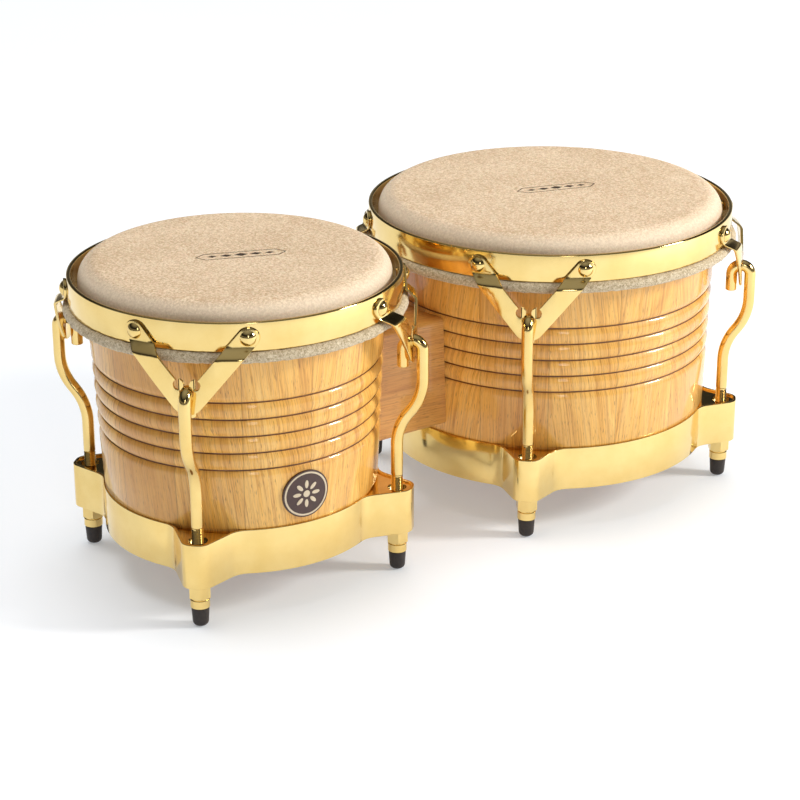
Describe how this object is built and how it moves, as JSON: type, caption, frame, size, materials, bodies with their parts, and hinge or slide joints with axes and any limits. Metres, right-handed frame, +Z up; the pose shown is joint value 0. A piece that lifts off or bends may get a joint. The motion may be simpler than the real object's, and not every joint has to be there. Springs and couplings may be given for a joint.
{
  "type": "bongo drums",
  "caption": "Pair of tapered wooden hand drums with hide heads, gold rims and hooked tuning rods, joined side by side by a wooden block.",
  "frame": {"origin": "on the floor under the middle of the whole object's box", "axes": "+X from the small drum to the large drum, +Z up, +Y away from the front"},
  "size_m": [0.4568, 0.2376, 0.1926],
  "materials": {
    "shell_wood": "clear gloss varnish over straight-grained staves",
    "block_wood": "clear satin varnish",
    "hide": "dry rawhide, mottled",
    "gold_plate": "polished gold-toned plating",
    "steel": "zinc-plated steel",
    "brass": "plain turned brass",
    "foot_rubber": "moulded rubber",
    "badge_enamel": "dark enamel with pale rings"
  },
  "bodies": {
    "root": {"small_shell": "shell_wood", "small_head": "hide", "small_bottom_ring": "gold_plate", "small_lug_washers": "steel", "small_block_bolts": "steel", "small_block_washers": "steel", "large_shell": "shell_wood", "large_head": "hide", "large_bottom_ring": "gold_plate", "large_lug_washers": "steel", "large_block_bolts": "steel", "large_block_washers": "steel", "centre_block": "block_wood", "block_inserts": "brass", "badge": "badge_enamel"},
    "small_hoop": {"small_head_collar": "hide", "small_flesh_hoop": "steel", "small_rim": "gold_plate", "small_rim_rivets": "gold_plate", "small_side_plate_1": "gold_plate", "small_side_plate_2": "gold_plate", "small_side_plate_3": "gold_plate", "small_side_plate_4": "gold_plate", "small_tuning_rod_1": "gold_plate", "small_tuning_rod_2": "gold_plate", "small_tuning_rod_3": "gold_plate", "small_tuning_rod_4": "gold_plate"},
    "small_nut_1": {"small_tuning_nut_1": "gold_plate", "small_foot_tip_1": "foot_rubber"},
    "small_nut_2": {"small_tuning_nut_2": "gold_plate", "small_foot_tip_2": "foot_rubber"},
    "small_nut_3": {"small_tuning_nut_3": "gold_plate", "small_foot_tip_3": "foot_rubber"},
    "small_nut_4": {"small_tuning_nut_4": "gold_plate", "small_foot_tip_4": "foot_rubber"},
    "large_hoop": {"large_head_collar": "hide", "large_flesh_hoop": "steel", "large_rim": "gold_plate", "large_rim_rivets": "gold_plate", "large_side_plate_1": "gold_plate", "large_side_plate_2": "gold_plate", "large_side_plate_3": "gold_plate", "large_side_plate_4": "gold_plate", "large_tuning_rod_1": "gold_plate", "large_tuning_rod_2": "gold_plate", "large_tuning_rod_3": "gold_plate", "large_tuning_rod_4": "gold_plate"},
    "large_nut_1": {"large_tuning_nut_1": "gold_plate", "large_foot_tip_1": "foot_rubber"},
    "large_nut_2": {"large_tuning_nut_2": "gold_plate", "large_foot_tip_2": "foot_rubber"},
    "large_nut_3": {"large_tuning_nut_3": "gold_plate", "large_foot_tip_3": "foot_rubber"},
    "large_nut_4": {"large_tuning_nut_4": "gold_plate", "large_foot_tip_4": "foot_rubber"}
  },
  "joints": [
    {"name": "small_head_tension", "type": "slide", "parent": "root", "child": "small_hoop", "axis": [0, 0, -1], "range_m": [-0.002, 0.004]},
    {"name": "small_nut_turn_1", "type": "hinge", "parent": "root", "child": "small_nut_1", "pos_m": [-0.19788, -0.06458, 0.012], "axis": [0, 0, 1], "range_deg": [-720, 1440]},
    {"name": "small_nut_turn_2", "type": "hinge", "parent": "root", "child": "small_nut_2", "pos_m": [-0.06282, -0.07048, 0.012], "axis": [0, 0, 1], "range_deg": [-720, 1440]},
    {"name": "small_nut_turn_3", "type": "hinge", "parent": "root", "child": "small_nut_3", "pos_m": [-0.05692, 0.06458, 0.012], "axis": [0, 0, 1], "range_deg": [-720, 1440]},
    {"name": "small_nut_turn_4", "type": "hinge", "parent": "root", "child": "small_nut_4", "pos_m": [-0.19198, 0.07048, 0.012], "axis": [0, 0, 1], "range_deg": [-720, 1440]},
    {"name": "large_head_tension", "type": "slide", "parent": "root", "child": "large_hoop", "axis": [0, 0, -1], "range_m": [-0.002, 0.004]},
    {"name": "large_nut_turn_1", "type": "hinge", "parent": "root", "child": "large_nut_1", "pos_m": [0.02872, -0.08088, 0.012], "axis": [0, 0, 1], "range_deg": [-720, 1440]},
    {"name": "large_nut_turn_2", "type": "hinge", "parent": "root", "child": "large_nut_2", "pos_m": [0.19048, -0.08088, 0.012], "axis": [0, 0, 1], "range_deg": [-720, 1440]},
    {"name": "large_nut_turn_3", "type": "hinge", "parent": "root", "child": "large_nut_3", "pos_m": [0.19048, 0.08088, 0.012], "axis": [0, 0, 1], "range_deg": [-720, 1440]},
    {"name": "large_nut_turn_4", "type": "hinge", "parent": "root", "child": "large_nut_4", "pos_m": [0.02872, 0.08088, 0.012], "axis": [0, 0, 1], "range_deg": [-720, 1440]}
  ],
  "couplings": [
    {"joint": "small_nut_turn_1", "follows": "small_head_tension", "rad_per_m": 6283.2},
    {"joint": "small_nut_turn_2", "follows": "small_head_tension", "rad_per_m": 6283.2},
    {"joint": "small_nut_turn_3", "follows": "small_head_tension", "rad_per_m": 6283.2},
    {"joint": "small_nut_turn_4", "follows": "small_head_tension", "rad_per_m": 6283.2},
    {"joint": "large_nut_turn_1", "follows": "large_head_tension", "rad_per_m": 6283.2},
    {"joint": "large_nut_turn_2", "follows": "large_head_tension", "rad_per_m": 6283.2},
    {"joint": "large_nut_turn_3", "follows": "large_head_tension", "rad_per_m": 6283.2},
    {"joint": "large_nut_turn_4", "follows": "large_head_tension", "rad_per_m": 6283.2}
  ]
}
